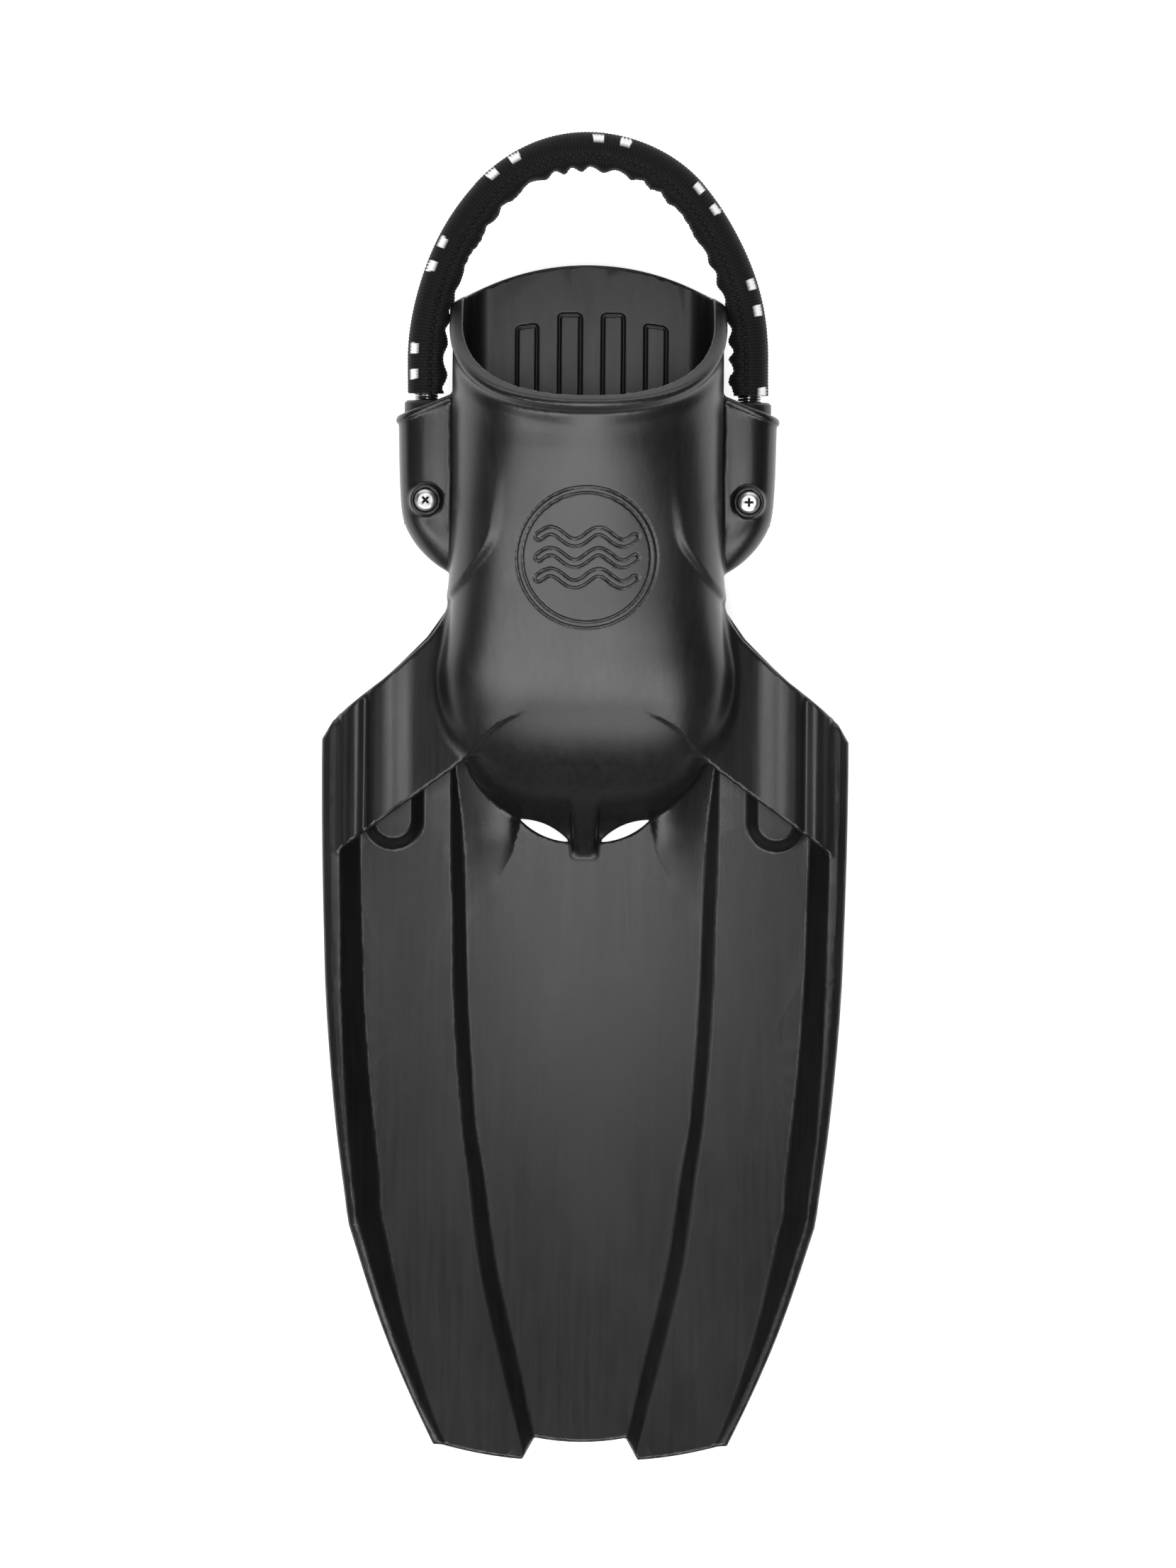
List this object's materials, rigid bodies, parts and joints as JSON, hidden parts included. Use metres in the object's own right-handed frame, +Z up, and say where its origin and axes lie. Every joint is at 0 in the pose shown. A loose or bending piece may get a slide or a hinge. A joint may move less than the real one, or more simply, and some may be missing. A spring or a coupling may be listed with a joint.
{
  "type": "open-heel swim fin",
  "caption": "Open-heel swim fin: rubber foot pocket, vented and channelled blade with edge rails, and a sprung heel strap in a woven sleeve.",
  "frame": {"origin": "on the ground under the middle of the fin's box, strap included", "axes": "+Z up from the sole, +Y from the blade's tip to the heel, +X to the side"},
  "size_m": [0.2306, 0.5811, 0.0976],
  "materials": {
    "moulded_rubber": "satin",
    "plug_plastic": "satin",
    "zinc_plated_steel": "bright",
    "stainless_steel": "bright",
    "brass": "machined",
    "webbing": "ribbed weave",
    "thread": "twisted"
  },
  "bodies": {
    "fin": {"foot_pocket": "moulded_rubber", "blade": "moulded_rubber", "left_strap_plug": "plug_plastic", "right_strap_plug": "plug_plastic", "left_strap_screw": "zinc_plated_steel", "right_strap_screw": "zinc_plated_steel", "left_strap_nut": "stainless_steel", "right_strap_nut": "stainless_steel", "left_spring_stud": "brass", "right_spring_stud": "brass"},
    "strap_swing": {"heel_spring": "stainless_steel"},
    "strap_arch": {"sleeve_outer_tape": "webbing", "sleeve_inner_tape": "webbing", "upper_seam_thread": "thread", "lower_seam_thread": "thread"}
  },
  "joints": [
    {"name": "strap_swing_hinge", "type": "hinge", "parent": "fin", "child": "strap_swing", "pos_m": [0, 0.175, 0.032], "axis": [1, 0, 0], "range_deg": [-10, 60], "stiffness_Nm_per_rad": 0.6},
    {"name": "strap_stretch_slide", "type": "slide", "parent": "strap_swing", "child": "strap_arch", "axis": [0, 1, 0], "range_m": [0, 0.045], "stiffness_N_per_m": 900, "deforming": ["heel_spring"]}
  ]
}
